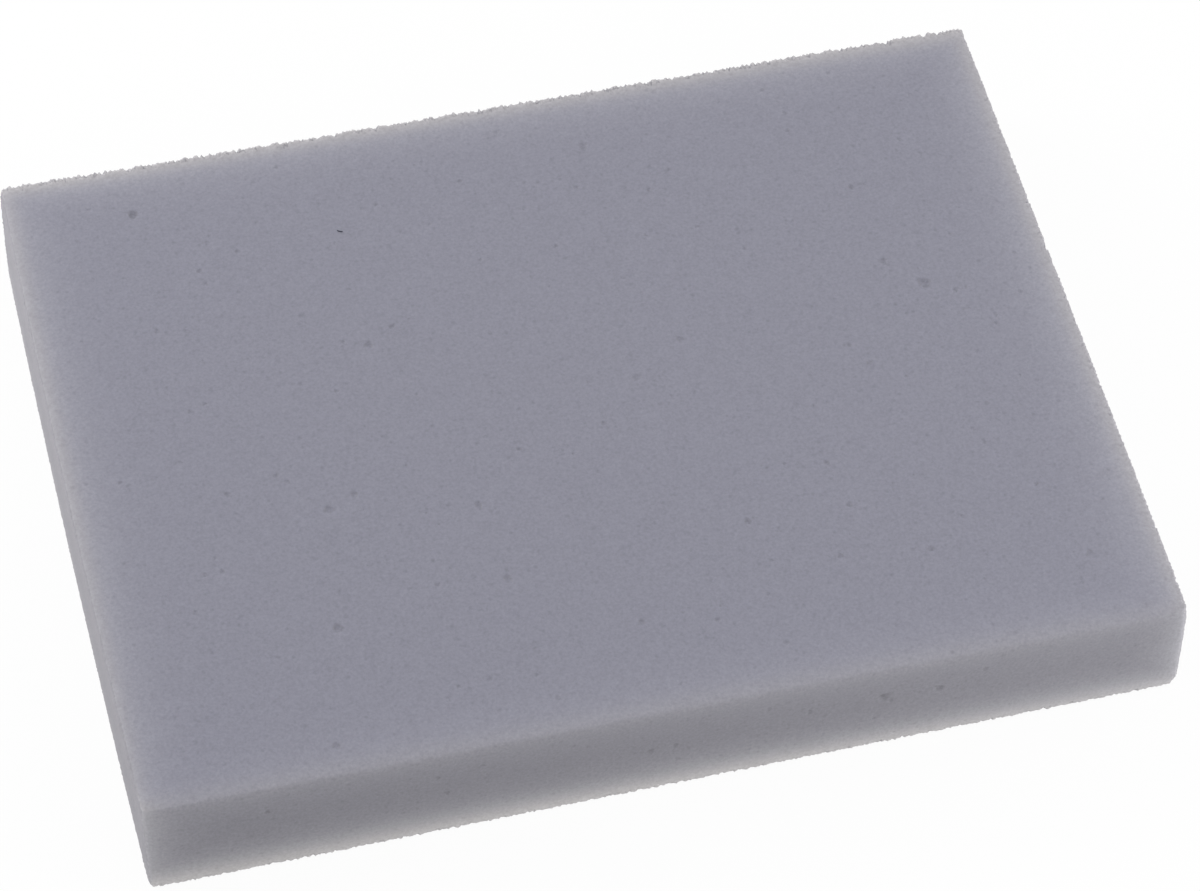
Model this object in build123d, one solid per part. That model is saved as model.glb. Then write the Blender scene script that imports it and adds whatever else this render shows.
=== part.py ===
from build123d import *
import os

# Foam filter: one pad of fine open-cell foam, cut from a sheet by a straight blade.
# Frame: the origin is under the middle of the pad, on the surface that it lies on,
# +X along its length, +Y across its width, +Z up through its thickness. Millimetres.

# ---- Pad, as cut ----
length = 120.0     # along X, from the crest of the bowed left end to the straight right end
width = 90.0       # along Y
thickness = 15.0   # along Z

# ---- Left end: the sheet sprang outwards as the blade let it go ----
left_end_bow = 0.35   # how far the middle of that end stands out past its two corners

# ---- Edges and corners ----
rim_radius = 0.25            # rounding of the top and bottom rims, about half a foam cell
cut_corner_radius = 0.5      # upright corners that keep the blade's line
rubbed_corner_radius = 1.0   # front right upright corner, rubbed rounder in handling

# ---- Places worked out from the sizes above ----
right = length / 2
left_crest = -length / 2
left_corner = left_crest + left_end_bow
back = width / 2
front = -width / 2


def pad_outline():
    """The pad's plan: three straight sides, the left end's shallow arc, eased corners."""
    straight_sides = Polyline((left_corner, back), (right, back), (right, front), (left_corner, front))
    left_end = ThreePointArc((left_corner, front), (left_crest, 0), (left_corner, back))
    outline = make_face([straight_sides, left_end])
    corners = outline.vertices().sort_by_distance((right, front))
    outline = fillet(corners[1:], cut_corner_radius)
    rubbed_corner = outline.vertices().sort_by_distance((right, front))[0]
    return fillet(rubbed_corner, rubbed_corner_radius)


def foam_pad():
    """The whole pad: its plan raised to its thickness, with both rims rounded."""
    block = extrude(pad_outline(), thickness)
    rims = block.faces().sort_by(Axis.Z)[0].edges() + block.faces().sort_by(Axis.Z)[-1].edges()
    return fillet(rims, rim_radius)


os.makedirs("parts", exist_ok=True)
export_step(foam_pad(), "parts/foam_pad.step")
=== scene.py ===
"""A foam filter pad, lying dry on a white table in a light tent.

The pad is one piece of fine grey open-cell foam. Its skin is one closed mesh: a top and a bottom
face, a side that runs all round, and the two rounded rims between them. It carries the cells that
the blade opened along the rims, the larger pores, the rubbed corners and the nicks of the right-hand
rim. Lengths in the classes are millimetres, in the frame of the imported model, and each mesh is made
in metres.
"""

import logging
import math
import random
from bisect import bisect
from dataclasses import dataclass, fields, replace
from enum import Enum
from typing import Any, Iterable, Optional, Union

import bpy
import numpy as np
from mathutils import Matrix, Vector, noise
from mathutils.geometry import delaunay_2d_cdt


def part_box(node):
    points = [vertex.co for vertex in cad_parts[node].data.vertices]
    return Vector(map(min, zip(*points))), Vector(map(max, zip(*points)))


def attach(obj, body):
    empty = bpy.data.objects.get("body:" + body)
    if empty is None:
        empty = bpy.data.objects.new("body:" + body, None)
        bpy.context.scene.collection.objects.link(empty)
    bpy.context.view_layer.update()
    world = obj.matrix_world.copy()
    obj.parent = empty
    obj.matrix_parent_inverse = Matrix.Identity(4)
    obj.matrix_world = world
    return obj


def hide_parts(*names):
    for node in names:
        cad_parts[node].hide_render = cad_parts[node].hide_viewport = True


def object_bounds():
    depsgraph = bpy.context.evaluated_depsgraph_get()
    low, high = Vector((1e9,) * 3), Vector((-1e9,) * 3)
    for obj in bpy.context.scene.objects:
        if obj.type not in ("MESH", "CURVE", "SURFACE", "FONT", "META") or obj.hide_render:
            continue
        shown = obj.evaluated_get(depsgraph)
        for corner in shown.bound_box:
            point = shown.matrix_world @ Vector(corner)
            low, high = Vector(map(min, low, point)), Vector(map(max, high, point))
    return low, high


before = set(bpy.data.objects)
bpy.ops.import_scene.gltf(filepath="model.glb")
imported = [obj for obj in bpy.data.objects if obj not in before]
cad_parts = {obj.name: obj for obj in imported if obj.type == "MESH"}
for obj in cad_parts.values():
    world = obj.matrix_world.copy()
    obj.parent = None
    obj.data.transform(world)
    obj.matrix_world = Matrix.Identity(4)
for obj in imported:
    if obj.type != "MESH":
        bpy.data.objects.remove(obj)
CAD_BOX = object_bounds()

MM = 0.001                 # one millimetre, in metres
PAD_NODE = "foam_pad"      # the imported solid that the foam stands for
BODY = "root"              # the one body of a part with no joints
QUARTER_TURN = math.pi / 2
WHITE = (1.0, 1.0, 1.0, 1.0)

log = logging.getLogger("foam_filter")

Amount = Any               # a float, an array or a shader Term, which add and multiply alike
Loops = list[tuple[int, ...]]
Colour = tuple[float, ...]
Spot = tuple[float, float]


# ---- sizes and edges


@dataclass(frozen=True)
class PadSize:
    """The pad's outer sizes, in millimetres."""

    length: float
    width: float
    thickness: float
    left_end_bow: float = 0.35
    rim_radius: float = 0.25
    cut_corner_radius: float = 0.5
    rubbed_corner_radius: float = 1.0

    @classmethod
    def from_frame(cls) -> "PadSize":
        """Read the length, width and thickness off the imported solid."""
        low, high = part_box(PAD_NODE)
        length, width, thickness = (Vector(high) - Vector(low)) / MM
        return cls(length, width, thickness)

    @property
    def right(self) -> float:
        """Where the right end stands, along X."""
        return self.length / 2

    @property
    def left(self) -> float:
        """Where the left end's two corners stand, along X."""
        return self.left_end_bow - self.length / 2

    @property
    def back(self) -> float:
        """Where the back side stands, along Y; the front side is as far the other way."""
        return self.width / 2


@dataclass(frozen=True)
class Nearness:
    """How near a place is to each outer face: 1 on the face, fading to 0 away from it."""

    top: Amount
    foot: Amount
    back: Amount
    front: Amount
    left: Amount
    right: Amount

    def raised(self, power: float) -> "Nearness":
        """The same, each raised to a power."""
        return Nearness(*(getattr(self, face.name) ** power for face in fields(self)))


@dataclass(frozen=True)
class EdgeWeights:
    """How strongly something shows along each of the pad's twelve edges."""

    top_back: float = 0.0
    top_front: float = 0.0
    top_left: float = 0.0
    top_right: float = 0.0
    foot_back: float = 0.0
    foot_front: float = 0.0
    foot_left: float = 0.0
    foot_right: float = 0.0
    back_left: float = 0.0
    back_right: float = 0.0
    front_left: float = 0.0
    front_right: float = 0.0

    CREST = 4.0    # the higher, the more only the strongest edge counts where several meet
    MEETINGS = (   # every edge once, as a face and the faces that it meets
        ("top", ("back", "front", "left", "right")),
        ("foot", ("back", "front", "left", "right")),
        ("back", ("left", "right")),
        ("front", ("left", "right")),
    )

    def gather(self, near: Nearness) -> Amount:
        """Find what the edges give at a place, which is little more than the strongest one gives.

        Args:
            near: how near the place is to each face, in arrays or shader terms.

        Returns:
            An edge's own weight on that edge, and 0 far from them all.
        """
        near = near.raised(self.CREST)
        whole: Amount = 0.0
        for face, others in self.MEETINGS:
            along: Amount = 0.0
            for other in others:
                along = along + getattr(near, other) * getattr(self, f"{face}_{other}") ** self.CREST
            whole = whole + getattr(near, face) * along
        return whole ** (1 / self.CREST)


# ---- outline and pores


class Outline:
    """The pad's plan, walked anticlockwise from the middle of the back side."""

    FEWEST = 4     # points of a rounded corner

    def __init__(self, size: PadSize, step: float) -> None:
        """Walk the four sides and their corners.

        Args:
            size: the pad's sizes.
            step: the distance between two points of the walk.
        """
        self._places: list[np.ndarray] = []
        self._outward: list[np.ndarray] = []
        start = here = np.array((0.0, size.back))
        ahead = np.array((-1.0, 0.0))
        corners = (
            ((size.left, size.back), size.cut_corner_radius),
            ((size.left, -size.back), size.cut_corner_radius),
            ((size.right, -size.back), size.rubbed_corner_radius),
            ((size.right, size.back), size.cut_corner_radius),
        )
        middles = []
        for corner, radius in corners:
            outward = np.array((ahead[1], -ahead[0]))
            bend = np.array(corner) - ahead * radius
            self._straight(here, bend, outward, step)
            middles.append(self._corner(bend, ahead, outward, radius, step))
            here = np.array(corner) - outward * radius
            ahead = -outward
        self._straight(here, start, np.array((ahead[1], -ahead[0])), step)
        self.places = np.array(self._places)
        self.outward = np.array(self._outward)
        closed = np.vstack((self.places, self.places[:1]))
        strides = np.linalg.norm(np.diff(closed, axis=0), axis=1)
        self.runs = np.concatenate(([0.0], np.cumsum(strides)))
        self.corner_runs: list[float] = [float(self.runs[middle]) for middle in middles]

    def _straight(self, first: np.ndarray, last: np.ndarray, outward: np.ndarray, step: float) -> None:
        """Add the points of a straight side, without its last one."""
        count = max(1, round(float(np.linalg.norm(last - first)) / step))
        for share in np.arange(count) / count:
            self._places.append(first + (last - first) * share)
            self._outward.append(outward)

    def _corner(
        self, bend: np.ndarray, ahead: np.ndarray, outward: np.ndarray, radius: float, step: float
    ) -> int:
        """Add the points of a rounded corner, without its last one.

        Args:
            bend: where the corner starts to turn.
            ahead: the way of the side before it.
            outward: the outward way of that side.
            radius: the corner's radius.
            step: the distance between two points.

        Returns:
            The index of the corner's middle point.
        """
        count = max(self.FEWEST, round(radius * QUARTER_TURN / step))
        centre = bend - outward * radius
        for share in np.arange(count) / count:
            turn = share * QUARTER_TURN
            way = outward * math.cos(turn) + ahead * math.sin(turn)
            self._places.append(centre + way * radius)
            self._outward.append(way)
        return len(self._places) - count // 2

    @property
    def length(self) -> float:
        """The distance once round the pad."""
        return float(self.runs[-1])

    def at(self, run: np.ndarray) -> tuple[np.ndarray, np.ndarray]:
        """Find places on the outline.

        Args:
            run: the distances walked to them.

        Returns:
            The places in the plan, and their outward ways.
        """
        closed = [np.vstack((a, a[:1])) for a in (self.places, self.outward)]
        found = [np.stack([np.interp(run, self.runs, a[:, k]) for k in (0, 1)], 1) for a in closed]
        found[1] /= np.linalg.norm(found[1], axis=1)[:, None]
        return found[0], found[1]

    def run_to(self, x: float, y: float) -> float:
        """The distance walked to the outline's point nearest to a place in the plan."""
        return float(self.runs[np.argmin(np.linalg.norm(self.places - (x, y), axis=1))])


class Face(Enum):
    """The faces that carry pores of their own."""

    TOP = "top"
    BOTTOM = "bottom"
    SIDE = "side"


@dataclass(frozen=True)
class Pore:
    """An open cell larger than its neighbours: a shallow pit whose bottom is darkened with painted shade.

    across and along are its place on its face: X and Y on the top and the bottom, and the distance
    round the outline and Z on the side.
    """

    across: float
    along: float
    width: float
    pit_shade: float
    stretch: float = 0.9
    turn: float = 0.0

    DEPTH = 0.12       # of the width
    FINE_WIDTH = 0.45  # a pore narrower than this has two rings, and a wider one has four
    OUTER_RING = 1.25  # the outermost ring's size, as a share of the pore's
    WOBBLE = 0.12      # how far the rings stray from an oval, as a share
    SPARE = 0.12       # between the outermost ring and the vertices round it, in millimetres

    def rings(self) -> list[tuple[float, float, int]]:
        """Each ring's size as a share of the pore's, its depth as a share, and its points."""
        if self.width < self.FINE_WIDTH:
            return [(0.5, 0.75, 5), (1.0, 0.0, 8)]
        return [(0.4, 0.96, 6), (0.75, 0.66, 9), (1.0, 0.16, 12), (self.OUTER_RING, 0.0, 12)]

    def points(self) -> list[tuple[float, float, float, float]]:
        """The pit's vertices as across, along, depth below the face, and painted shade."""
        pit = [(self.across, self.along, self.width * self.DEPTH, self.pit_shade)]
        for size, depth, count in self.rings():
            for step in range(count):
                angle = math.tau * (step + size) / count
                wobble = 1 + self.WOBBLE * math.sin(3 * angle + 7 * self.across)
                long_way = math.cos(angle) * self.stretch * wobble
                short_way = math.sin(angle) / self.stretch * wobble
                reach = size * self.width / 2
                pit.append((
                    self.across + reach * (long_way * math.cos(self.turn) - short_way * math.sin(self.turn)),
                    self.along + reach * (long_way * math.sin(self.turn) + short_way * math.cos(self.turn)),
                    self.width * self.DEPTH * depth,
                    self.pit_shade * depth,
                ))
        return pit

    @property
    def clearance(self) -> float:
        """How far other vertices keep from the pore's middle."""
        return self.width / 2 * self.stretch * self.OUTER_RING + self.SPARE


# Each row: across, along, width, painted shade and, where they aren't the usual ones, stretch and turn.
TOP_PORES = tuple(Pore(*row) for row in (
    (-44.8, 37.7, 1.3, 1.6), (44.2, 7.2, 1.6, 0.75, 0.9, 0.3), (40.3, 11.4, 1.1, 0.65),
    (39.8, 23.3, 0.9, 0.7, 0.9, 0.4), (-21.7, 12.4, 1.1, 0.6, 0.9, 0.2),
    (-18.5, 14.5, 0.8, 0.6, 1.1, 0.8), (7.5, 0.9, 1.1, 0.45, 1.1, 0.4),
    (13.9, 5.3, 0.9, 0.5, 0.9, 0.5), (2.2, -4.7, 0.7, 0.6), (-31.1, -9.7, 1.2, 0.35, 1.0, 0.1),
    (-27.9, -8.3, 0.9, 0.5, 0.8), (-14.5, -12.9, 1.0, 0.5, 0.8), (14.8, -21.8, 0.9, 1.1),
    (-13.6, -23.5, 1.1, 0.6, 0.8, 0.3), (-33.6, -25.9, 1.3, 0.6, 0.9, 0.3),
    (-0.4, -32.6, 0.8, 0.6, 0.8), (26.7, -22.1, 0.8, 0.7), (25.8, -15.9, 0.8, 0.75, 0.8, 0.3),
    (23.8, -28.8, 0.8, 0.5), (34.0, -30.1, 0.9, 0.5, 1.1, 0.7), (-37.1, -41.1, 1.0, 0.4, 0.9, 0.2),
    (-12.0, -40.3, 0.7, 0.5), (9.9, 36.5, 1.2, 0.4, 0.8), (34.6, 33.6, 0.7, 0.5, 1.0),
    (51.5, -34.7, 0.9, 0.4, 0.8), (8.0, -34.2, 0.7, 0.25), (47.5, 5.4, 0.7, 0.6),
    (-41.9, -5.1, 0.8, 0.5, 0.9, 0.5), (-5.8, 34.4, 0.6, 0.7), (34.6, -2.9, 0.8, 0.5, 0.9, 0.2),
    (46.2, -11.6, 0.6, 0.6), (33.0, 0.1, 0.6, 0.5), (3.1, 22.1, 0.6, 0.5), (-36.0, -3.8, 0.7, 0.5),
    (-38.7, 27.5, 0.8, 0.5, 0.9, 0.3), (48.4, -24.0, 0.6, 0.5), (38.8, -26.5, 0.6, 0.5),
    (16.0, 28.1, 0.7, 0.4), (-43.7, 7.4, 0.7, 0.5), (-33.8, 29.5, 0.7, 0.4),
    (-45.2, 19.7, 0.7, 0.5), (-44.5, -15.5, 0.7, 0.5), (-21.5, -22.6, 0.7, 0.4),
    (-24.5, 13.5, 0.6, 0.5), (-26.8, 6.6, 0.6, 0.5),
))

# Across is X here, which the pad turns into a distance round the outline.
FRONT_PORES = tuple(Pore(*row) for row in (
    (24.5, 9.6, 1.4, 0.9, 0.95), (25.4, 8.6, 0.7, 0.9), (31.0, 9.2, 1.1, 1.05, 0.9, 0.2),
    (-2.6, 7.8, 1.0, 0.6), (0.4, 8.0, 0.8, 0.6), (0.5, 5.1, 0.8, 0.4, 1.0),
    (15.8, 9.5, 0.8, 0.5, 0.8), (-25.8, 7.5, 0.8, 0.8), (36.3, 11.4, 0.8, 0.6),
    (-45.8, 10.7, 0.8, 0.6), (11.1, 11.7, 0.7, 0.6),
))


# ---- the skin's mesh


@dataclass(frozen=True)
class Region:
    """A flat rectangle to be filled, with a border of its own that may lie inside it."""

    low: Spot
    high: Spot
    inset: float = 0.0

    def margin(self, points: np.ndarray) -> np.ndarray:
        """How far points lie inside the border."""
        gaps = np.column_stack((points - self.low, np.subtract(self.high, points)))
        return gaps.min(1) - self.inset


@dataclass(frozen=True)
class Grading:
    """How the skin's triangles coarsen away from the rims: bands of (distance, spacing)."""

    bands: tuple[tuple[float, float], ...]
    jitter: float = 0.22       # of the spacing
    clear_of_border: float = 0.6   # of the first spacing

    ROW_GAP = math.sqrt(0.75)      # of the spacing, as in triangles with equal sides

    def fill(self, region: Region, dice: random.Random) -> np.ndarray:
        """Spread points over a flat region in rows, closer together near its border.

        Args:
            region: the region.
            dice: the source of the jitter.

        Returns:
            The points, one to a row.
        """
        kept = []
        low, high = region.low, region.high
        inner = self.bands[0][1] * self.clear_of_border
        for outer, spacing in self.bands:
            row_gap = spacing * self.ROW_GAP
            rows = math.ceil((high[1] - low[1]) / row_gap)
            columns = math.ceil((high[0] - low[0]) / spacing)
            points = np.array([
                (
                    low[0] + spacing * (column + 0.5 * (row % 2) + dice.uniform(-self.jitter, self.jitter)),
                    low[1] + row_gap * (row + dice.uniform(-self.jitter, self.jitter)),
                )
                for row in range(rows + 1)
                for column in range(columns + 1)
            ])
            inside = region.margin(points)
            kept.append(points[(inside >= inner) & (inside < outer)])
            inner = outer
        return np.vstack(kept)


def triangulate(flat: np.ndarray, border: int) -> Loops:
    """Cut a flat region into triangles.

    Args:
        flat: the places of all its points, those of its closed border first and in order.
        border: how many points the border has.

    Returns:
        The triangles, anticlockwise, as indices into flat.
    """
    ring = [(index, (index + 1) % border) for index in range(border)]
    inside_only, tolerance = 1, 1e-6
    made = delaunay_2d_cdt([Vector(p) for p in flat], ring, [], inside_only, tolerance)
    triangles, sources = made[2], made[3]
    return [tuple(sources[corner][0] for corner in triangle) for triangle in triangles]


class Strip(Enum):
    """The four stretches of the side, each with its column and its storey on the flat map."""

    BACK = (0, 0)
    FRONT = (1, 0)
    LEFT = (2, 0)
    RIGHT = (2, 1)


@dataclass(frozen=True)
class SkinMap:
    """The skin laid flat on one square: the two faces one above the other, the side beside them."""

    size: PadSize
    outline: Outline
    gap: float = 1.5

    NAME = "OFBake"    # the name of the skin's flat map; the name under which the closing export looks for it
    ROUND = (Strip.LEFT, Strip.FRONT, Strip.RIGHT, Strip.BACK)   # each starts at a corner in turn

    @property
    def span(self) -> float:
        """The square's side, in millimetres of skin."""
        return 2 * self.size.width + 3 * self.gap

    def on_face(self, flat: np.ndarray, on_top: bool) -> np.ndarray:
        """Lay places of the top or the bottom face on the map.

        Args:
            flat: the places, as X and Y.
            on_top: True for the top face, False for the bottom.

        Returns:
            Their places on the map.
        """
        storey = 0 if on_top else self.size.width + self.gap
        middle = (self.gap + self.size.length / 2, self.gap + self.size.width / 2 + storey)
        return (flat + middle) / self.span

    def strip_at(self, run: float) -> Strip:
        """Which stretch of the side a distance round the outline lies on."""
        return self.ROUND[bisect(self.outline.corner_runs, run) - 1]

    def on_strip(self, flat: np.ndarray, strip: Strip) -> np.ndarray:
        """Lay places of the side on the map.

        Args:
            flat: the places, as distances round the outline and heights.
            strip: the stretch of the side that they lie on.

        Returns:
            Their places on the map.
        """
        column, storey = strip.value
        start = self.outline.corner_runs[self.ROUND.index(strip)]
        half = self.outline.length / 2
        along = (flat[:, 0] - start + half) % (2 * half) - half
        across = self.size.length + self.gap * 2 + column * (self.size.thickness + self.gap) + flat[:, 1]
        return np.column_stack((across, along + self.gap + storey * (self.size.width + self.gap))) / self.span


class Skin:
    """The pad's vertices and faces while they are being made."""

    def __init__(self) -> None:
        """Start with no vertices and no faces."""
        self.places: list[np.ndarray] = []
        self.outward: list[np.ndarray] = []
        self.depths: list[np.ndarray] = []
        self.pit_shade: list[np.ndarray] = []
        self.faces: Loops = []
        self.map_places: list[Spot] = []
        self.count = 0

    def add(self, places: np.ndarray, outward: np.ndarray, pits: Optional[np.ndarray] = None) -> np.ndarray:
        """Add vertices.

        Args:
            places: their places before any relief.
            outward: the way that the skin faces there.
            pits: each vertex's depth below the skin and its painted shade, or None for none.

        Returns:
            The new vertices' indices.
        """
        pits = np.zeros((len(places), 2)) if pits is None else pits
        self.places.append(places)
        self.outward.append(outward)
        self.depths.append(pits[:, 0])
        self.pit_shade.append(pits[:, 1])
        self.count += len(places)
        return np.arange(self.count - len(places), self.count)

    def join(self, loops: Iterable[tuple[int, ...]], vertices: np.ndarray, on_map: np.ndarray) -> None:
        """Add faces.

        Args:
            loops: each face as indices into vertices.
            vertices: the indices of the vertices that the loops speak of.
            on_map: the same vertices' places on the flat map of the skin.
        """
        for loop in loops:
            self.faces.append(tuple(int(vertices[corner]) for corner in loop))
            self.map_places.extend((float(on_map[corner][0]), float(on_map[corner][1])) for corner in loop)


def dressed_mesh(name: str, places: list[Any], faces: Loops, finish: bpy.types.Material) -> bpy.types.Mesh:
    """Make a smooth mesh of one finish.

    Args:
        name: the mesh's name.
        places: its vertices, in metres.
        faces: its faces, as indices into places, anticlockwise as seen from outside.
        finish: its material.

    Returns:
        The mesh.
    """
    mesh = bpy.data.meshes.new(name)
    mesh.from_pydata(places, [], faces)
    mesh.shade_smooth()
    mesh.materials.append(finish)
    return mesh


def linked(name: str, data: bpy.types.ID) -> bpy.types.Object:
    """Make an object and put it in the scene.

    Args:
        name: the object's name.
        data: its mesh, light or camera.

    Returns:
        The object.
    """
    made = bpy.data.objects.new(name, data)
    bpy.context.collection.objects.link(made)
    return made


@dataclass(frozen=True)
class Nick:
    """A cell torn out of the right-hand top rim."""

    across: float
    width: float
    depth: float
    reach: float = 0.6     # how far it goes in from the rim


@dataclass(frozen=True)
class Rub:
    """A corner rubbed down in handling: which corner, as signs of X and Y, and how much."""

    side_x: int
    side_y: int
    on_top: bool
    depth: float
    reach: float = 1.8


@dataclass(frozen=True)
class CornerShift:
    """How far one of the eight corners stands off its square place, since foam is cut by hand."""

    side_x: int
    side_y: int
    on_top: bool
    along: float
    across: float


@dataclass(frozen=True)
class CutRelief:
    """The relief that a straight blade leaves on fine foam."""

    cell: float = 0.48             # a cell's width
    cell_depth: float = 0.62       # how deep the widest cells open at the most ragged edge
    cell_rarity: float = 2.5       # the higher, the fewer of the cells open deep
    bowl_reach: float = 0.7        # how far an open cell's bowl goes from its middle, in cells
    strut: float = 0.38            # how far torn struts stand out and fall back there
    strut_width: float = 0.27
    reach: float = 0.6             # how far the ragged strip reaches from an edge
    smooth_below: float = 0.02     # a place less ragged than this has no open cells
    swell: float = 0.018           # faint rise and fall of the whole skin
    swell_width: float = 2.2
    seed_step: float = 5.37        # sets cell numbers apart before they are hashed
    open_from: float = 0.05        # how far a torn spot stands off before it is painted paler for the light through its walls
    open_most: float = 0.4         # how much further it gets any paler
    ragged: EdgeWeights = EdgeWeights(
        top_back=1.25, top_front=0.1, top_left=0.1, top_right=0.72,
        foot_back=0.7, foot_front=0.7, foot_left=0.35, foot_right=0.45,
        back_left=1.3, back_right=0.5, front_left=0.3, front_right=0.85,
    )
    # How far the edges are worn down.
    worn: EdgeWeights = EdgeWeights(top_front=0.36, top_left=0.28, front_left=0.34)

    def height(self, place: Vector, edge: float) -> float:
        """Find how far the skin stands out at a place.

        Args:
            place: the place on the smooth skin.
            edge: how ragged the place is, from the edges near it.

        Returns:
            The height, which is below 0 where a cell opens.
        """
        swell = self.swell * noise.noise(place / self.swell_width)
        if edge < self.smooth_below:
            return swell
        distances, centres = noise.voronoi(place / self.cell)
        chance = 0.5 + 0.5 * noise.cell(centres[0] * self.seed_step)
        bowl = max(0.0, 1 - distances[0] / self.bowl_reach)
        opened = self.cell_depth * bowl * chance ** self.cell_rarity
        return swell + edge * (self.strut * noise.noise(place / self.strut_width) - opened)


@dataclass
class FoamPad:
    """The whole pad, as one closed skin with its pores, rims, rubs and nicks."""

    size: PadSize
    relief: CutRelief = CutRelief()
    rim_step: float = 0.17         # between two vertices along a rim
    rim_rows: int = 4              # rows of vertices round a rim's quarter turn
    seam_step: float = 0.5         # between two vertices up the side's seam
    face_grading: Grading = Grading(((1.1, 0.34), (4.0, 0.62), (math.inf, 1.05)))
    side_grading: Grading = Grading(((1.1, 0.34), (math.inf, 0.62)))
    corner_spacing: float = 0.2    # between vertices round an upright corner
    corner_reach: float = 0.8      # how far that spacing goes on past the corner
    corner_row_gap: float = 1.6    # between their rows, as a share of that spacing
    back_hollow: float = 0.2       # how far the middle of the back side is drawn in
    right_bow: float = 0.08        # how far the middle of the right end stands out
    right_belly: float = 0.13      # how far it does at half height
    corner_shifts: tuple[CornerShift, ...] = (
        CornerShift(-1, 1, True, 0.2, 0.45), CornerShift(1, 1, True, -0.12, -0.1),
        CornerShift(1, -1, True, -0.38, -0.42), CornerShift(-1, -1, True, 0.02, -0.42),
        CornerShift(1, -1, False, 0.3, 0.14), CornerShift(-1, -1, False, 0.3, -0.52),
        CornerShift(-1, 1, False, 0.16, 0.0),
    )
    nicks: tuple[Nick, ...] = (Nick(16.5, 0.35, 0.3), Nick(9.4, 0.9, 0.32))
    rubs: tuple[Rub, ...] = (
        Rub(1, -1, True, 0.14), Rub(-1, -1, True, 0.35),
        Rub(1, -1, False, 0.36), Rub(-1, 1, False, 0.15),
    )
    torn_painted_light: float = 3.0       # painted light: how much less dark a torn spot is for each millimetre it stands off, for the light through its walls
    small_pores: tuple[tuple[Face, int], ...] = ((Face.TOP, 150), (Face.BOTTOM, 110), (Face.SIDE, 100))
    small_pore: float = 0.3        # the least width of those
    small_pore_spread: float = 0.4     # how much wider the widest of them is
    small_pore_margin: float = 2.0     # how far they keep from the ends of a face
    side_pore_margin: float = 1.5  # how far they keep from the side's two rims
    seed: int = 41

    def __post_init__(self) -> None:
        """Walk the outline and start an empty skin."""
        self.dice = random.Random(self.seed)
        self.outline = Outline(self.size, self.rim_step)
        self.skin_map = SkinMap(self.size, self.outline)
        self.skin = Skin()

    # -- pores

    def pores(self, face: Face) -> list[Pore]:
        """Gather a face's pores: those with a place of their own, then the scattered small ones.

        Args:
            face: the face.

        Returns:
            Its pores. A scattered one that would touch another is left out.
        """
        found = list(TOP_PORES) if face is Face.TOP else []
        if face is Face.SIDE:
            for pore in FRONT_PORES:
                found.append(replace(pore, across=self.outline.run_to(pore.across, -self.size.back)))
        for _ in range(dict(self.small_pores)[face]):
            pore = self.scattered_pore(face)
            if all(math.dist((pore.across, pore.along), (p.across, p.along)) > pore.clearance + p.clearance
                   for p in found):
                found.append(pore)
        return found

    def scattered_pore(self, face: Face) -> Pore:
        """Throw one small pore onto a face.

        Args:
            face: the face.

        Returns:
            The pore, which may still touch another.
        """
        margin, side_margin = self.small_pore_margin, self.side_pore_margin
        width = self.small_pore + self.small_pore_spread * self.dice.random() ** 2.0
        stretch, turn = self.dice.uniform(1.0, 1.2), self.dice.uniform(0, math.pi)
        # how much painted shade the pore's bottom gets
        pit_shade = self.dice.uniform(0.2, 0.5)
        if face is Face.SIDE:
            across = self.dice.uniform(margin, self.outline.length - margin)
            along = self.dice.uniform(side_margin, self.size.thickness - side_margin)
        else:
            across = self.dice.uniform(self.size.left + margin, self.size.right - margin)
            along = self.dice.uniform(margin - self.size.back, self.size.back - margin)
        return Pore(across, along, width, pit_shade, stretch, turn)

    # -- rims, faces and side

    def rim(self, on_top: bool) -> list[np.ndarray]:
        """Add a rounded rim.

        Args:
            on_top: True for the top rim, False for the one at the foot.

        Returns:
            Its rows of vertex indices, from the face's border down or up to the side's.
        """
        radius, places, outward = self.size.rim_radius, self.outline.places, self.outline.outward
        rows, flats = [], []
        for row in range(self.rim_rows + 1):
            turn = row / self.rim_rows * QUARTER_TURN
            plan = places - outward * radius * (1 - math.sin(turn))
            drop = radius * (1 - math.cos(turn))
            level = self.size.thickness - drop if on_top else drop
            upright = math.cos(turn) if on_top else -math.cos(turn)
            rows.append(self.skin.add(
                np.column_stack((plan, np.full(len(plan), level))),
                np.column_stack((outward * math.sin(turn), np.full(len(plan), upright))),
            ))
            flats.append(places - outward * radius + outward * radius * turn)
        count = len(places)
        for above, below, flat, next_flat in zip(rows, rows[1:], flats, flats[1:]):
            loops = []
            for index in range(count):
                beside = (index + 1) % count
                loop = (index, index + count, beside + count, beside)
                loops.append(loop if on_top else loop[::-1])
            on_map = self.skin_map.on_face(np.vstack((flat, next_flat)), on_top)
            self.skin.join(loops, np.concatenate((above, below)), on_map)
        return rows

    def flat_face(self, face: Face, border: np.ndarray) -> None:
        """Add the top or the bottom face inside its rim.

        Args:
            face: which of the two.
            border: the vertex indices of the rim's inner row.
        """
        on_top = face is Face.TOP
        edge = self.outline.places - self.outline.outward * self.size.rim_radius
        low, high = (self.size.left, -self.size.back), (self.size.right, self.size.back)
        region = Region(low, high, self.size.rim_radius)
        inside, pits = self.filled(face, self.face_grading, region)
        level = self.size.thickness if on_top else 0.0
        way = (0.0, 0.0, 1.0 if on_top else -1.0)
        places = np.column_stack((inside, np.full(len(inside), level)))
        vertices = np.concatenate((border, self.skin.add(places, np.tile(way, (len(inside), 1)), pits)))
        flat = np.vstack((edge, inside))
        loops = triangulate(flat, len(edge))
        loops = loops if on_top else [loop[::-1] for loop in loops]
        self.skin.join(loops, vertices, self.skin_map.on_face(flat, on_top))

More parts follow.
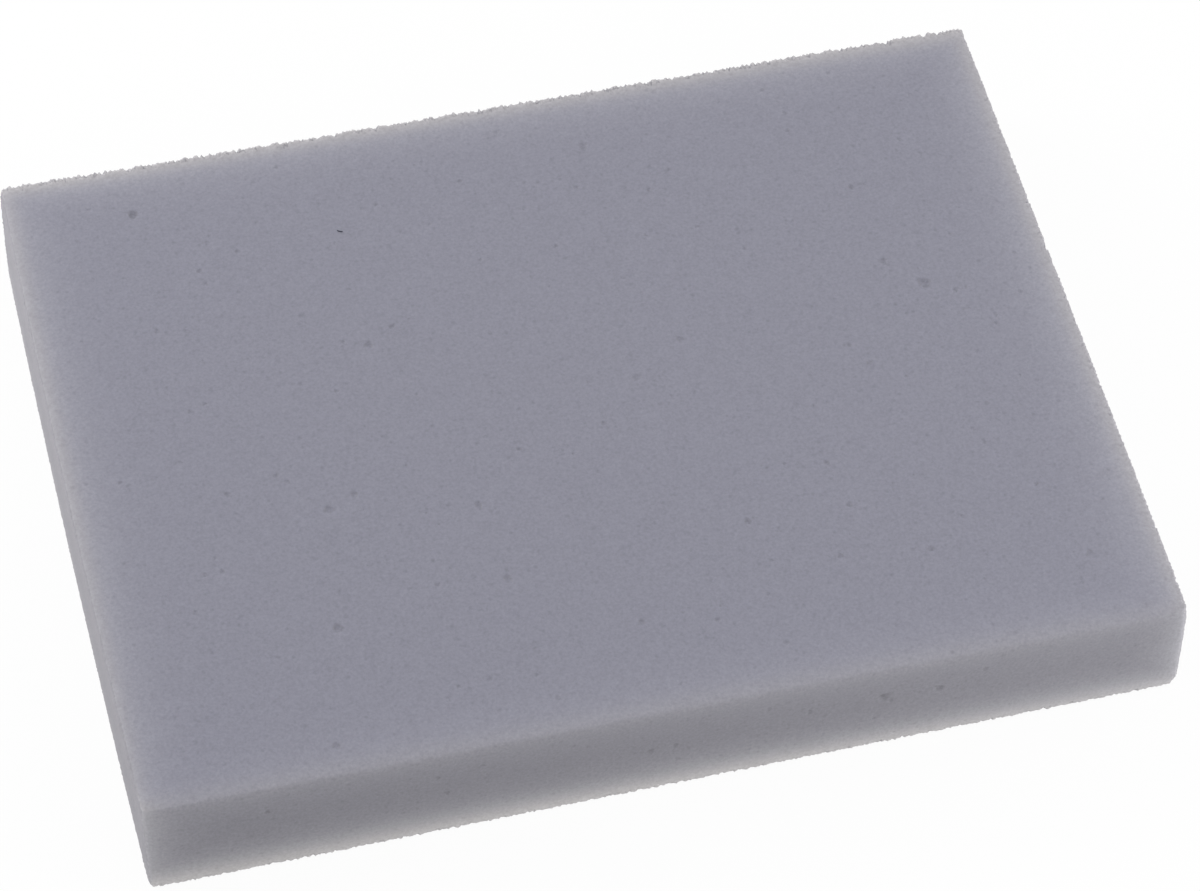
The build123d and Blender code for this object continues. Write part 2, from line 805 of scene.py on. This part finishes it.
    def side(self, upper: np.ndarray, lower: np.ndarray) -> None:
        """Add the side, unrolled into a long strip whose two ends are one seam.

        Args:
            upper: the vertex indices of the top rim's outer row.
            lower: those of the foot rim's outer row.
        """
        low, high = self.size.rim_radius, self.size.thickness - self.size.rim_radius
        length = self.outline.length
        seam_count = round((high - low) / self.seam_step)
        heights = np.linspace(low, high, seam_count + 1)[1:-1]
        spot, way = self.outline.at(np.zeros(len(heights)))
        seam = self.skin.add(np.column_stack((spot, heights)), np.column_stack((way, heights * 0)))
        runs = self.outline.runs
        ends = np.full(len(heights), length)
        edge = np.vstack((
            np.column_stack((runs, np.full(len(runs), low))),
            np.column_stack((ends, heights)),
            np.column_stack((runs[::-1], np.full(len(runs), high))),
            np.column_stack((ends * 0, heights[::-1])),
        ))
        border = np.concatenate((lower, lower[:1], seam, upper[:1], upper[::-1], seam[::-1]))
        inside, pits = self.filled(Face.SIDE, self.side_grading, Region((0.0, low), (length, high)))
        spot, way = self.outline.at(inside[:, 0])
        places = np.column_stack((spot, inside[:, 1]))
        ways = np.column_stack((way, np.zeros(len(way))))
        vertices = np.concatenate((border, self.skin.add(places, ways, pits)))
        flat = np.vstack((edge, inside))
        strips: dict[Strip, Loops] = {}
        for loop in triangulate(flat, len(edge)):
            middle = float(flat[list(loop), 0].mean())
            strips.setdefault(self.skin_map.strip_at(middle), []).append(loop)
        for strip, loops in strips.items():
            self.skin.join(loops, vertices, self.skin_map.on_strip(flat, strip))

    def filled(self, face: Face, grading: Grading, region: Region) -> tuple[np.ndarray, np.ndarray]:
        """Spread points over a face and set its pores among them.

        Args:
            face: the face.
            grading: how close the points lie.
            region: the flat region that the face takes up.

        Returns:
            The points, and each one's depth below the face and painted shade.
        """
        points = grading.fill(region, self.dice)
        if face is Face.SIDE:
            points = self.with_corners(points, region.low[1], region.high[1])
        pits = []
        for pore in self.pores(face):
            apart = np.hypot(points[:, 0] - pore.across, points[:, 1] - pore.along)
            points = points[apart > pore.clearance]
            pits.extend(pore.points())
        bottoms = np.array(pits)
        flats = np.zeros((len(points), 2))
        return np.vstack((points, bottoms[:, :2])), np.vstack((flats, bottoms[:, 2:]))

    def with_corners(self, points: np.ndarray, low: float, high: float) -> np.ndarray:
        """Replace the points round each upright corner by closer ones.

        Args:
            points: the side's points, as distances round and heights.
            low: the height of the side's lower border.
            high: that of its upper one.

        Returns:
            The points, with the closer ones among them.
        """
        columns = round(2 * self.corner_reach / self.corner_spacing)
        rows = round((high - low) / (self.corner_row_gap * self.corner_spacing))
        for middle in self.outline.corner_runs:
            points = points[np.abs(points[:, 0] - middle) > self.corner_reach + self.corner_spacing]
            across = np.linspace(middle - self.corner_reach, middle + self.corner_reach, columns + 1)
            along = np.linspace(low, high, rows + 1)[1:-1]
            grid = np.array([(a, b) for a in across for b in along])
            points = np.vstack((points, grid))
        return points

    # -- shaping

    def nearness(self, places: np.ndarray, reach: float) -> Nearness:
        """Find how near places are to each outer face.

        Args:
            places: the places, before any relief.
            reach: over how far the nearness fades.

        Returns:
            How near they are, as one array for each face.
        """
        x, y, z = places.T
        gaps = (
            self.size.thickness - z, z, self.size.back - y, y + self.size.back,
            x - self.size.left, self.size.right - x,
        )
        return Nearness(*(np.exp(-np.maximum(gap, 0) / reach) for gap in gaps))

    def shaped(self) -> tuple[np.ndarray, np.ndarray]:
        """Move every vertex from the smooth skin to its real place.

        Returns:
            The places, and how much paler each is painted for the light through its torn walls.
        """
        places, outward = np.vstack(self.skin.places), np.vstack(self.skin.outward)
        near = self.nearness(places, self.relief.reach)
        ragged = self.relief.ragged.gather(near)
        heights = np.array([
            self.relief.height(Vector(place), float(edge)) for place, edge in zip(places, ragged)
        ])
        torn_open = np.clip(np.abs(heights) - self.relief.open_from, 0, self.relief.open_most)
        heights -= self.relief.worn.gather(near)
        ways = np.column_stack((near.right - near.left, near.back - near.front, near.top - near.foot))
        ways /= np.linalg.norm(ways, axis=1)[:, None]
        moved = places + ways * heights[:, None] - outward * np.concatenate(self.skin.depths)[:, None]
        for nick in self.nicks:
            moved += self.torn(places, nick)
        for rub in self.rubs:
            moved += self.rubbed(places, rub)
        return self.sprung(moved), self.torn_painted_light * torn_open

    def torn(self, places: np.ndarray, nick: Nick) -> np.ndarray:
        """Find how far a nick moves each vertex.

        Args:
            places: the vertices' places, before any relief.
            nick: the nick.

        Returns:
            The moves.
        """
        rim = (self.size.right, nick.across, self.size.thickness)
        apart = (places - rim) / (nick.reach, nick.width / 2, nick.reach)
        share = np.exp(-(apart ** 4).sum(1))
        return np.outer(share, (-nick.depth, 0.0, -nick.depth / 2))

    def rubbed(self, places: np.ndarray, rub: Rub) -> np.ndarray:
        """Find how far a rubbed corner moves each vertex.

        Args:
            places: the vertices' places, before any relief.
            rub: the rubbed corner.

        Returns:
            The moves.
        """
        x = self.size.right if rub.side_x > 0 else self.size.left
        y = self.size.back * rub.side_y
        z = self.size.thickness if rub.on_top else 0.0
        inward = np.array((-rub.side_x, -rub.side_y, -1 if rub.on_top else 1)) / math.sqrt(3)
        apart = np.linalg.norm(places - (x, y, z), axis=1)
        share = np.clip(1 - apart / rub.reach, 0, 1) ** 2
        return np.outer(share, inward * rub.depth)

    def sprung(self, places: np.ndarray) -> np.ndarray:
        """Bow the ends out, draw the middle of the back side in and set the corners off square.

        Args:
            places: the vertices' places, relief and all.

        Returns:
            Their final places.
        """
        x, y, z = places.T.copy()
        across, along, rise = y / self.size.back, x / self.size.right, z / self.size.thickness
        hump, long_hump = 1 - across ** 2, 1 - along ** 2
        to_left, to_right = np.clip(-along, 0, 1) ** 2, np.clip(along, 0, 1) ** 2
        x -= self.size.left_end_bow * hump * to_left
        x += self.right_bow * hump * to_right
        x += self.right_belly * (1 - (2 * rise - 1) ** 4) * to_right
        y -= self.back_hollow * long_hump * np.clip(across, 0, 1) ** 2
        for shift in self.corner_shifts:
            share = (1 + shift.side_x * along) / 2 * (1 + shift.side_y * across) / 2
            share *= rise if shift.on_top else 1 - rise
            x += shift.along * share
            y += shift.across * share
        return np.column_stack((x, y, z))

    # -- the object

    def build(self) -> bpy.types.Object:
        """Make the pad's object, dress it and tell the frame what it is."""
        top_rows, foot_rows = self.rim(on_top=True), self.rim(on_top=False)
        self.flat_face(Face.TOP, top_rows[0])
        self.flat_face(Face.BOTTOM, foot_rows[0])
        self.side(top_rows[-1], foot_rows[-1])
        places, paler = self.shaped()
        mesh = dressed_mesh(
            "foam_pad_skin", (places * MM).tolist(), self.skin.faces, FoamFinish(self.size).material()
        )
        # The pits' painted shade, less the painted light of the torn spots, for the finish to read.
        pit_shade = mesh.attributes.new(FoamFinish.PORE_ATTRIBUTE, "FLOAT", "POINT")
        shades = np.concatenate(self.skin.pit_shade) - paler
        pit_shade.data.foreach_set("value", shades.astype(np.float32))
        skin_map = mesh.uv_layers.new(name=SkinMap.NAME)
        skin_map.data.foreach_set("uv", np.array(self.skin.map_places, np.float32).ravel())
        mesh.validate()
        pad = linked("foam_filter_pad", mesh)
        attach(pad, BODY)
        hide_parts(PAD_NODE)
        return pad


@dataclass(frozen=True)
class LintFibre:
    """A short dark fibre that lies on the top face."""

    place: Spot = (-21.4, 29.9)
    length: float = 0.75
    thickness: float = 0.15
    turn: float = -0.5
    bend: float = 0.35     # how much its ends turn apart, in radians
    lift: float = 0.45     # how high its middle lies, in thicknesses
    end_lift: float = 0.25     # how much higher its ends lie
    bluntness: float = 0.08    # how blunt its two ends are left
    rows: int = 9
    spokes: int = 6

    def build(self, level: float) -> bpy.types.Object:
        """Make the fibre as a curled tapering thread.

        Args:
            level: the height of the face that it lies on, in millimetres.

        Returns:
            The fibre's object.
        """
        places, faces = [], []
        for row in range(self.rows):
            share = 2 * row / (self.rows - 1) - 1
            angle = self.turn + share * self.bend / 2
            middle = Vector((
                self.place[0] + share * self.length / 2 * math.cos(angle),
                self.place[1] + share * self.length / 2 * math.sin(angle),
                level + self.thickness * (self.lift + self.end_lift * share ** 2),
            ))
            radius = self.thickness / 2 * math.sqrt(max(self.bluntness, 1 - share ** 4))
            sideways = Vector((-math.sin(angle), math.cos(angle), 0))
            for spoke in range(self.spokes):
                turn = math.tau * spoke / self.spokes
                around = sideways * math.cos(turn) + Vector((0, 0, math.sin(turn)))
                places.append((middle + radius * around) * MM)
        last_ring = (self.rows - 1) * self.spokes
        for start in range(0, last_ring, self.spokes):
            for spoke in range(self.spokes):
                here, beside = start + spoke, start + (spoke + 1) % self.spokes
                faces.append((here, beside, beside + self.spokes, here + self.spokes))
        faces.append(tuple(reversed(range(self.spokes))))
        faces.append(tuple(range(last_ring, last_ring + self.spokes)))
        mesh = dressed_mesh("lint_fibre_thread", places, faces, FibreFinish().material())
        fibre = linked("lint_fibre", mesh)
        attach(fibre, BODY)
        return fibre


# ---- sums on node sheets


class Term:
    """A number that varies over a surface, for use in Python sums as if it were a float."""

    def __init__(self, sheet: "NodeSheet", socket: bpy.types.NodeSocket) -> None:
        """Wrap an output socket.

        Args:
            sheet: the node sheet that it is on.
            socket: the socket.
        """
        self.sheet = sheet
        self.socket = socket

    def __add__(self, other: "Number") -> "Term":
        """Add."""
        return self.sheet.math("ADD", self, other)

    __radd__ = __add__

    def __mul__(self, other: "Number") -> "Term":
        """Multiply."""
        return self.sheet.math("MULTIPLY", self, other)

    __rmul__ = __mul__

    def __sub__(self, other: "Number") -> "Term":
        """Take a number or a term from this term."""
        return self.sheet.math("SUBTRACT", self, other)

    def __rsub__(self, other: "Number") -> "Term":
        """Take this term from a number."""
        return self.sheet.math("SUBTRACT", other, self)

    def __truediv__(self, other: "Number") -> "Term":
        """Divide this term by a number or a term."""
        return self.sheet.math("DIVIDE", self, other)

    def __neg__(self) -> "Term":
        """Turn the sign."""
        return self * -1.0

    def __pow__(self, other: "Number") -> "Term":
        """Raise this term to a power."""
        return self.sheet.math("POWER", self, other)

    def exp(self) -> "Term":
        """Raise the number e to this term."""
        return self.sheet.math("EXPONENT", self)

    def least(self, other: "Number") -> "Term":
        """The smaller of this term and another."""
        return self.sheet.math("MINIMUM", self, other)

    def most(self, other: "Number") -> "Term":
        """The larger of this term and another."""
        return self.sheet.math("MAXIMUM", self, other)

    def between(self, low: float, high: float) -> "Term":
        """0 below low, 1 above high, and a smooth rise in between."""
        return Term(self.sheet, self.sheet.put(
            "ShaderNodeMapRange",
            {"interpolation_type": "SMOOTHSTEP"},
            {"Value": self, "From Min": low, "From Max": high},
        ).outputs["Result"])


Number = Union[Term, float]
Feed = Union[Term, bpy.types.NodeSocket, float, int, tuple[float, ...]]


class NodeSheet:
    """The nodes of one finish."""

    def __init__(self, owner: Union[bpy.types.Material, bpy.types.World]) -> None:
        """Clear the owner's node tree and start on it.

        Args:
            owner: the material or the world whose nodes these are.
        """
        owner.use_nodes = True
        self.tree = owner.node_tree
        self.tree.nodes.clear()

    def put(self, kind: str, settings: Optional[dict[str, Any]] = None,
            feeds: Optional[dict[str, Feed]] = None) -> bpy.types.Node:
        """Add a node.

        Args:
            kind: the node's type.
            settings: its own settings, set first.
            feeds: what each input socket gets, by the socket's identifier or name.

        Returns:
            The node.
        """
        node = self.tree.nodes.new(kind)
        for name, value in (settings or {}).items():
            setattr(node, name, value)
        for name, feed in (feeds or {}).items():
            socket = next(s for s in node.inputs if name in (s.identifier, s.name) and s.enabled)
            source = feed.socket if isinstance(feed, Term) else feed
            if isinstance(source, bpy.types.NodeSocket):
                self.tree.links.new(source, socket)
            else:
                socket.default_value = source
        return node

    def math(self, operation: str, *values: Number) -> Term:
        """Add a Math node for one step of a sum.

        Args:
            operation: what the node does.
            values: what it does it to.

        Returns:
            What it gives.
        """
        names = ("Value", "Value_001", "Value_002")
        node = self.put("ShaderNodeMath", {"operation": operation}, dict(zip(names, values)))
        return Term(self, node.outputs["Value"])

    def blend(self, share: Number, first: Feed, second: Feed, mode: str = "MIX") -> bpy.types.NodeSocket:
        """Mix two colours.

        Args:
            share: the second colour's share.
            first: the first colour.
            second: the second.
            mode: how they are mixed.

        Returns:
            The socket of the mixed colour.
        """
        feeds = {"Factor_Float": share, "A_Color": first, "B_Color": second}
        node = self.put("ShaderNodeMix", {"data_type": "RGBA", "blend_type": mode}, feeds)
        return next(s for s in node.outputs if s.identifier == "Result_Color")

    def seen(self) -> Term:
        """1 for the rays that show a thing, straight or in a mirror or through glass, and else 0."""
        rays = self.put("ShaderNodeLightPath").outputs
        names = ("Is Camera Ray", "Is Glossy Ray", "Is Transmission Ray")
        camera, glossy, through = (Term(self, rays[name]) for name in names)
        return camera.most(glossy).most(through)

    def noise(self, place: Feed, width: float, detail: float = 0.0, roughness: float = 0.5) -> Term:
        """Add smooth noise, centred on a half.

        Args:
            place: where it is looked up.
            width: about how wide its lumps are.
            detail: how many finer layers it has.
            roughness: how strong each of them is.

        Returns:
            The noise.
        """
        feeds = {"Vector": place, "Scale": 1 / width, "Detail": detail, "Roughness": roughness}
        node = self.put("ShaderNodeTexNoise", None, feeds)
        return Term(self, node.outputs["Fac"])

    def split(self, vector: Feed) -> tuple[Term, Term, Term]:
        """Take a vector's three parts."""
        parts = self.put("ShaderNodeSeparateXYZ", None, {"Vector": vector}).outputs
        return Term(self, parts["X"]), Term(self, parts["Y"]), Term(self, parts["Z"])

    def cells(self, place: Feed, width: float) -> tuple[Term, Term]:
        """Add a pattern of cells.

        Args:
            place: where it is looked up.
            width: about how wide a cell is.

        Returns:
            The distance from a cell's middle, in cells, and a chance number for the cell.
        """
        node = self.put("ShaderNodeTexVoronoi", None, {"Vector": place, "Scale": 1 / width})
        colour = self.put("ShaderNodeSeparateColor", None, {"Color": node.outputs["Color"]})
        return Term(self, node.outputs["Distance"]), Term(self, colour.outputs["Red"])


def tone(red: float, green: float, blue: float) -> Colour:
    """Turn a colour as it is seen into the linear values that a socket takes.

    Args:
        red: its red, from 0 to 255.
        green: its green.
        blue: its blue.

    Returns:
        The three values, and 1 for a colour that nothing shows through.
    """
    def linear(level: float) -> float:
        """One channel."""
        share = level / 255
        return share / 12.92 if share <= 0.04045 else ((share + 0.055) / 1.055) ** 2.4
    return (linear(red), linear(green), linear(blue), 1.0)


# ---- finishes


@dataclass(frozen=True)
class FoamFinish:
    """Dry matt foam: cool grey, painted plainer on its cut sides and paler on its ends for the light on each,
    and with a painted glow where light soaks into an edge.
    """

    size: PadSize
    # Painted light: face, side and end are lit and shaded copies of one grey, for the top, the sides and the
    # two ends as light falls on each.
    face: Colour = tone(140.5, 140.5, 152.5)
    side: Colour = tone(141, 140, 147)
    end: Colour = tone(143.5, 142, 147.5)
    # The painted glow's colours: edge about the top's rims, upright up the upright edges, foot along the
    # foot, where light comes back off the table.
    edge: Colour = tone(207, 203, 201)
    upright: Colour = tone(203, 202, 207)
    foot: Colour = tone(221, 218, 218)
    fringe_reach: float = 0.9      # of the palest fringe of painted glow, where the cells are cut open and light comes through them
    soak_reach: float = 2.7        # of the light that soaks in behind it
    side_light_drift: float = 0.0013     # painted light: how much paler each millimetre to the right makes a cut side, where more light falls on it
    back_drift: float = 0.003      # how much more light soaks into the back for each one
    foot_drift: float = -0.0065    # and into the foot, where it gets less to the right
    foot_most: float = 1.1         # the most that this makes of the foot's light
    left_drift: float = 0.006      # how much more into the left end for each one towards the back
    foot_squeeze: float = 1.45     # how much sooner the light fades above the foot
    end_foot_loss: float = 0.6     # how much less of it the two ends get at the foot
    end_top_loss: float = 0.9      # and at the top rim
    beneath_loss: float = 0.8      # how much less the underside gets
    end_turn_loss: float = 0.9     # how much less the back and the front give where the skin turns to an end
    grain_strength: float = 0.37   # how far the cells' grain lightens and darkens the foam
    mottle_strength: float = 0.07  # how far its broader clouding does
    open_shade: float = 0.17       # painted shade: how much darker an open cell is, for the shade in its hollow
    glow_cover: float = 0.5        # how much of that a glowing rim hides
    # How strongly the painted glow shows along each edge: fringe right at the rim, soak further in.
    fringe: EdgeWeights = EdgeWeights(
        top_back=0.68, top_front=0.08, top_left=0.18, top_right=0.28,
        foot_back=0.25, foot_front=0.15, foot_left=0.25, foot_right=0.2,
        back_left=0.0, back_right=0.2, front_left=0.55, front_right=0.2,
    )
    soak: EdgeWeights = EdgeWeights(
        top_back=0.36, top_front=0.17, top_left=0.42, top_right=0.44,
        foot_back=0.95, foot_front=2.25, foot_left=0.75, foot_right=0.75,
        back_left=0.0, back_right=0.35, front_left=0.75, front_right=0.5,
    )

    PORE_ATTRIBUTE = "open_cell"
    END_FROM = (0.02, 0.45)        # how far the skin turns to an end before it takes the end's painted lit colour

    def nearness(self, x: Term, y: Term, z: Term, endwise: Term, beneath: Term, reach: float) -> Nearness:
        """Find how near a place is to each outer face, so far as light soaks in there.

        Args:
            x: the place along the pad.
            y: the place across it.
            z: the place up it.
            endwise: 1 on the pad's two ends, which are painted evenly pale for the light on them, and less
                the more it turns away.
            beneath: 1 on the underside, which gets less light than the sides do at the foot.
            reach: over how far the light fades.

        Returns:
            How near it is to each face.
        """
        across = y / self.size.back
        bowed_left = self.size.length / 2 - self.size.left_end_bow * across * across
        gaps = (
            self.size.thickness - z, z * self.foot_squeeze, self.size.back - y, y + self.size.back,
            x + bowed_left, self.size.right - x,
        )
        top, foot, back, front, left, right = ((gap.most(0.0) / -reach).exp() for gap in gaps)
        end, inmost = endwise.between(*self.END_FROM), 1 - self.end_turn_loss * endwise.between(0.35, 0.98)
        lit = (1 - self.end_foot_loss * end) * (1 - self.beneath_loss * beneath)
        foot *= lit * (1 + self.foot_drift * x).least(self.foot_most)
        back *= inmost * (1 + self.back_drift * x)
        left *= (1 + self.left_drift * y).least(1.0)
        return Nearness(top * (1 - self.end_top_loss * end), foot, back, front * inmost, left, right)

    def material(self) -> bpy.types.Material:
        """Make the foam's material."""
        made = bpy.data.materials.new("cut_foam")
        sheet = NodeSheet(made)
        spot = sheet.put("ShaderNodeTexCoord").outputs["Object"]
        place = sheet.put(
            "ShaderNodeVectorMath", {"operation": "SCALE"}, {"Vector": spot, "Scale": 1 / MM}
        ).outputs["Vector"]
        x, y, z = sheet.split(place)
        facing_x, _, facing_z = sheet.split(sheet.put("ShaderNodeNewGeometry").outputs["True Normal"])

        endwise = facing_x * facing_x
        end, beneath = endwise.between(*self.END_FROM), (-facing_z).between(0.6, 0.95)
        near = self.nearness(x, y, z, endwise, beneath, self.soak_reach)
        close = self.nearness(x, y, z, endwise, beneath, self.fringe_reach)
        # Painted light: the rims glow pale where light soaks in through the thin foam at an edge.
        glow = 1 - (-(self.soak.gather(near) + self.fringe.gather(close))).exp()
        # Painted light: how far the skin takes the top's colour, lit from above, instead of the sides'
        # colour.
        level = (facing_z * facing_z).between(0.1, 0.9).most(0.6 * close.top).most(0.3 * near.top)
        rim = near.front.most(near.back).most(near.left).most(near.right)
        warmth = (level * rim.between(0.26, 0.7) + 1.1 * near.foot).least(1.0)

        pit = Term(sheet, sheet.put(
            "ShaderNodeAttribute", {"attribute_name": self.PORE_ATTRIBUTE}
        ).outputs["Fac"])
        grain = sheet.noise(place, 0.36, 1.5, 0.75) - 0.5
        mottle = sheet.noise(place, 1.4, 2.0, 0.6) - 0.5
        dots = 0.8 * self.dots(sheet, place, 0.85, 0.4) + self.dots(sheet, place, 1.9, 0.2)
        # Painted shade in the open cells, the mesh's pits and the finer dots, which a glowing rim covers in
        # part.
        open_share = self.open_shade * pit * (1 - 1.5 * grain) + self.open_shade * dots
        open_share *= 1 - self.glow_cover * glow
        # Painted light: the back and the front grow paler to the right, where more light falls on them.
        painted_side_light = self.side_light_drift * x * (1 - level) * (1 - end)
        shade = (1 + self.grain_strength * grain + self.mottle_strength * mottle + painted_side_light) * (1 - open_share)

        # Painted light: the lit copies of the grey for the sides, the top and the ends, with the painted glow
        # over them.
        colour = sheet.blend(end, sheet.blend(level, self.side, self.face), self.end)
        pale = sheet.blend(near.foot, sheet.blend(warmth, self.upright, self.edge), self.foot)
        colour = sheet.blend(glow, colour, pale)
        grey = sheet.put(
            "ShaderNodeCombineColor", None, {"Red": shade, "Green": shade, "Blue": shade}
        ).outputs["Color"]
        colour = sheet.blend(1.0, colour, grey, "MULTIPLY")

        hollow, depth = sheet.cells(place, 0.44)
        relief = hollow * (0.4 + 0.6 * depth) + 0.5 * grain - 0.4 * dots
        bump = sheet.put(
            "ShaderNodeBump", None, {"Strength": 0.35, "Distance": 0.08 * MM, "Height": relief}
        ).outputs["Normal"]
        surface = sheet.put("ShaderNodeBsdfPrincipled", None, {
            "Base Color": colour,
            "Roughness": (0.92 + 0.1 * grain).least(1.0),
            "Specular IOR Level": 0.15,
            "Subsurface Weight": 0.35,
            "Subsurface Radius": (1.0, 1.0, 1.0),
            "Subsurface Scale": 0.9 * MM,
            "Normal": bump,
        })
        sheet.put("ShaderNodeOutputMaterial", None, {"Surface": surface.outputs["BSDF"]})
        return made

    def dots(self, sheet: NodeSheet, place: bpy.types.NodeSocket, spacing: float, size: float) -> Term:
        """Paint shade into the open cells that are too small for the mesh: soft dots, each as dark as chance
        has it.

        Args:
            sheet: the finish's nodes.
            place: the place on the foam, in millimetres.
            spacing: how far apart the dots lie.
            size: a dot's radius, as a share of the spacing.

        Returns:
            How dark the dots make a place.
        """
        distance, chance = sheet.cells(place, spacing)
        return (size - distance).most(0.0) / size * chance.between(0.35, 1.0)


@dataclass(frozen=True)
class FibreFinish:
    """Dark dusty lint."""

    dark: Colour = tone(48, 50, 60)
    light: Colour = tone(92, 94, 106)

    def material(self) -> bpy.types.Material:
        """Make the lint's material."""
        made = bpy.data.materials.new("dark_lint")
        sheet = NodeSheet(made)
        spot = sheet.put("ShaderNodeTexCoord").outputs["Object"]
        dusty = sheet.noise(spot, 0.12 * MM, 1.0)
        surface = sheet.put("ShaderNodeBsdfPrincipled", None, {
            "Base Color": sheet.blend(dusty, self.dark, self.light),
            "Roughness": 0.8,
            "Specular IOR Level": 0.2,
        })
        sheet.put("ShaderNodeOutputMaterial", None, {"Surface": surface.outputs["BSDF"]})
        return made


@dataclass(frozen=True)
class TableFinish:
    """A white table top that looks white and still takes the pad's shadow."""

    white: Colour = (0.9, 0.9, 0.9, 1.0)
    shown_white: float = 0.95    # how much of what the camera sees is plain white

    def material(self) -> bpy.types.Material:
        """Make the table's material."""
        made = bpy.data.materials.new("white_table")
        sheet = NodeSheet(made)
        matt = sheet.put("ShaderNodeBsdfDiffuse", None, {"Color": self.white})
        plain = sheet.put("ShaderNodeEmission", None, {"Color": WHITE, "Strength": 1.0})
        mixed = sheet.put("ShaderNodeMixShader", None, {
            "Fac": sheet.seen() * self.shown_white,
            "Shader": matt.outputs[0],
            "Shader_001": plain.outputs[0],
        })
        sheet.put("ShaderNodeOutputMaterial", None, {"Surface": mixed.outputs[0]})
        return made


# ---- light tent and camera


@dataclass(frozen=True)
class SoftPanel:
    """A square soft light that faces the pad."""

    name: str
    azimuth: float       # the way it stands, in degrees, 0 in front of the pad and 90 on its right
    elevation: float
    distance: float      # in pad lengths
    level: float         # what it adds to the light at the pad, where 1 shows a colour as it is
    width: float = 2.0   # in pad lengths

    def build(self, centre: Vector, reach: float) -> None:
        """Hang the panel.

        Args:
            centre: what it faces, in metres.
            reach: the pad's length, in metres.
        """
        light = bpy.data.lights.new(self.name, "AREA")
        light.energy = self.level * (math.pi * self.distance * reach) ** 2
        light.size = self.width * reach
        away = direction(self.azimuth, self.elevation)
        panel = linked(self.name, light)
        panel.location = centre + away * self.distance * reach
        panel.rotation_euler = away.to_track_quat("Z", "Y").to_euler()


def packed_middle() -> tuple[Vector, float]:
    """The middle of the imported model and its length, in metres."""
    low, high = (Vector(corner) for corner in CAD_BOX)
    return (low + high) / 2, high.x - low.x


def direction(azimuth: float, elevation: float) -> Vector:
    """The way out from the pad to something that stands at an azimuth and an elevation."""
    turn, rise = math.radians(azimuth), math.radians(elevation)
    return Vector((
        math.sin(turn) * math.cos(rise), -math.cos(turn) * math.cos(rise), math.sin(rise),
    ))


@dataclass(frozen=True)
class LightTent:
    """The white tent: its table, its panels and the even light of its walls."""

    wall_light: float = 0.75
    table_size: float = 30.0     # in pad lengths
    table_gap: float = 0.3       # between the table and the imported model's foot, in millimetres
    panels: tuple[SoftPanel, ...] = (
        SoftPanel("left_panel", -127, 22, 3.5, 0.52),
        SoftPanel("right_panel", 73, 22, 2.5, 0.4),
    )

    def build(self) -> None:
        """Put up the tent round the pad."""
        centre, reach = packed_middle()
        half = self.table_size * reach / 2
        level = CAD_BOX[0][2] - self.table_gap * MM
        corners = [(x, y, level) for x, y in ((-half, -half), (half, -half), (half, half), (-half, half))]
        mesh = dressed_mesh("table_top", corners, [(0, 1, 2, 3)], TableFinish().material())
        table = linked("white_table", mesh)
        for panel in self.panels:
            panel.build(centre, reach)
        self.walls()

    def walls(self) -> None:
        """Light the tent evenly, and show its walls as plain white."""
        world = bpy.data.worlds.new("tent_walls")
        bpy.context.scene.world = world
        sheet = NodeSheet(world)
        even = sheet.put("ShaderNodeBackground", None, {"Color": WHITE, "Strength": self.wall_light})
        plain = sheet.put("ShaderNodeBackground", None, {"Color": WHITE, "Strength": 1.0})
        mixed = sheet.put("ShaderNodeMixShader", None, {
            "Fac": sheet.seen(), "Shader": even.outputs[0], "Shader_001": plain.outputs[0],
        })
        sheet.put("ShaderNodeOutputWorld", None, {"Surface": mixed.outputs[0]})


@dataclass(frozen=True)
class Viewpoint:
    """The camera, above the pad's front left, a little rolled."""

    azimuth: float = -15.97
    elevation: float = 52.62
    roll: float = 2.42
    lens: float = 145.4          # in millimetres, for a sensor 36 mm wide
    distance: float = 4.714      # in pad lengths, as the next two are
    aside: float = 0.0248
    upward: float = -0.0116

    def build(self) -> None:
        """Set up the camera."""
        centre, reach = packed_middle()
        away = direction(self.azimuth, self.elevation)
        right = Vector((0, 0, 1)).cross(away).normalized()
        up = away.cross(right)
        roll = math.radians(self.roll)
        right, up = right * math.cos(roll) + up * math.sin(roll), up * math.cos(roll) - right * math.sin(roll)
        camera = linked("camera", bpy.data.cameras.new("camera"))
        camera.data.lens = self.lens
        place = centre + (away * self.distance + right * self.aside + up * self.upward) * reach
        camera.matrix_world = Matrix.Translation(place) @ Matrix((right, up, away)).transposed().to_4x4()
        bpy.context.scene.camera = camera


def report(piece: bpy.types.Object) -> None:
    """Log a finished piece.

    Args:
        piece: the piece's object.
    """
    mesh = piece.data
    mesh.calc_loop_triangles()
    log.info("%s: %d vertices, %d triangles", piece.name, len(mesh.vertices), len(mesh.loop_triangles))


def main() -> None:
    """Build the pad, the lint on it, the tent and the camera."""
    logging.basicConfig(level=logging.INFO, format="%(name)s: %(message)s")
    bpy.context.scene.view_settings.view_transform = "Standard"
    size = PadSize.from_frame()
    report(FoamPad(size).build())
    report(LintFibre().build(size.thickness))
    LightTent().build()
    Viewpoint().build()


if __name__ == "__main__":
    main()
